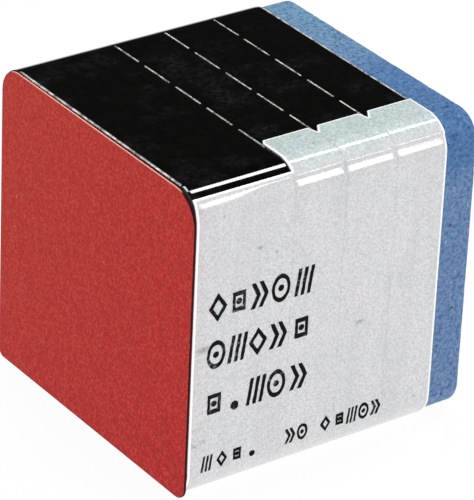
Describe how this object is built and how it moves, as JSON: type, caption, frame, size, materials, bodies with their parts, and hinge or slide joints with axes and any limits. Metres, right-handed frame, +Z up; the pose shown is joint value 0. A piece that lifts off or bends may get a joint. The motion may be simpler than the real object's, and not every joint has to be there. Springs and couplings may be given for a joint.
{
  "type": "cue chalk cube",
  "caption": "Pressed cue chalk cube with a dished face, a red base label and a black and silver wrap of perforated tear-off strips with lift tabs.",
  "frame": {"origin": "centre of the side that the cube lies on, on the surface under it", "axes": "+X from the labelled base to the dished working face, +Y from the silver front to the black back, +Z up"},
  "size_m": [0.0222, 0.0224, 0.0223],
  "materials": {
    "chalk": "matte",
    "red_label": "satin",
    "black_film": "gloss",
    "silver_film": "satin"
  },
  "bodies": {
    "chalk_and_base": {"chalk_block": "chalk", "base_label": "red_label", "base_band_black": "black_film", "base_band_silver": "silver_film"},
    "tear_strip_1": {"tear_strip_1_black": "black_film", "tear_strip_1_silver": "silver_film"},
    "lift_tab_1": {"lift_tab_1": "silver_film"},
    "tear_strip_2": {"tear_strip_2_black": "black_film", "tear_strip_2_silver": "silver_film"},
    "lift_tab_2": {"lift_tab_2": "silver_film"},
    "tear_strip_3": {"tear_strip_3_black": "black_film", "tear_strip_3_silver": "silver_film"},
    "lift_tab_3": {"lift_tab_3": "silver_film"}
  },
  "joints": [
    {"name": "strip_1_off", "type": "slide", "parent": "chalk_and_base", "child": "tear_strip_1", "axis": [1, 0, 0], "range_m": [0, 0.016]},
    {"name": "tab_1_lift", "type": "hinge", "parent": "tear_strip_1", "child": "lift_tab_1", "pos_m": [0, -0.0112, 0.0201], "axis": [1, 0, 0], "range_deg": [0, 110]},
    {"name": "strip_2_off", "type": "slide", "parent": "tear_strip_1", "child": "tear_strip_2", "axis": [1, 0, 0], "range_m": [0, 0.012]},
    {"name": "tab_2_lift", "type": "hinge", "parent": "tear_strip_2", "child": "lift_tab_2", "pos_m": [0, -0.0112, 0.0201], "axis": [1, 0, 0], "range_deg": [0, 110]},
    {"name": "strip_3_off", "type": "slide", "parent": "tear_strip_2", "child": "tear_strip_3", "axis": [1, 0, 0], "range_m": [0, 0.008]},
    {"name": "tab_3_lift", "type": "hinge", "parent": "tear_strip_3", "child": "lift_tab_3", "pos_m": [0, -0.0112, 0.0201], "axis": [1, 0, 0], "range_deg": [0, 110]}
  ]
}
